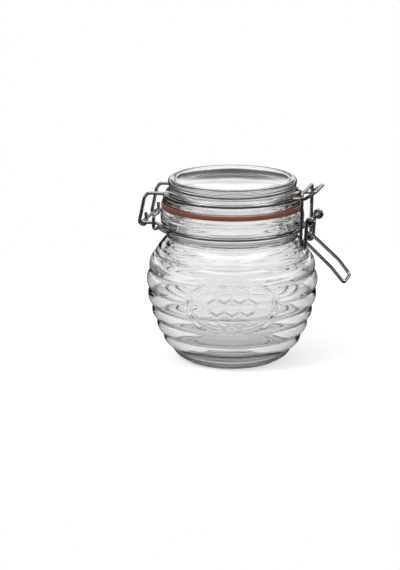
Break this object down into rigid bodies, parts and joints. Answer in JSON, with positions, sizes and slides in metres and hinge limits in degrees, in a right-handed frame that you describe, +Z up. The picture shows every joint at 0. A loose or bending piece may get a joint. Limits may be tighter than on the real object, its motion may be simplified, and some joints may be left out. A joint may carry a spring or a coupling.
{
  "type": "clip-top jar",
  "caption": "Clear glass storage jar with a ribbed hive-shaped body, glass lid, rubber seal and a wire clip closure.",
  "frame": {"origin": "centre of the ring on the base that the jar stands on", "axes": "+Z up the jar's axis, +X to the latch, -X to the hinge"},
  "size_m": [0.1223, 0.0998, 0.1075],
  "materials": {
    "body_glass": "clear pressed glass",
    "lid_glass": "clear pressed glass",
    "seal_rubber": "smooth orange-brown rubber",
    "steel_wire": "bright drawn steel wire"
  },
  "bodies": {
    "jar": {"jar_body": "body_glass", "neck_wire": "steel_wire", "neck_hook": "steel_wire"},
    "lid": {"lid_glass": "lid_glass", "lid_wire": "steel_wire", "seal": "seal_rubber"},
    "lever": {"lever": "steel_wire"},
    "bail": {"bail": "steel_wire"}
  },
  "joints": [
    {"name": "lid_hinge", "type": "hinge", "parent": "jar", "child": "lid", "pos_m": [-0.05, 0, 0.082], "axis": [0, -1, 0], "range_deg": [0, 110]},
    {"name": "lever_pivot", "type": "hinge", "parent": "jar", "child": "lever", "pos_m": [0.0486, 0, 0.0862], "axis": [0, -1, 0], "range_deg": [0, 100]},
    {"name": "bail_pivot", "type": "hinge", "parent": "lever", "child": "bail", "pos_m": [0.0436, 0, 0.0729], "axis": [0, 1, 0], "range_deg": [0, 54]}
  ],
  "couplings": [
    {"joint": "bail_pivot", "follows": "lever_pivot", "ratio": 0.54}
  ]
}
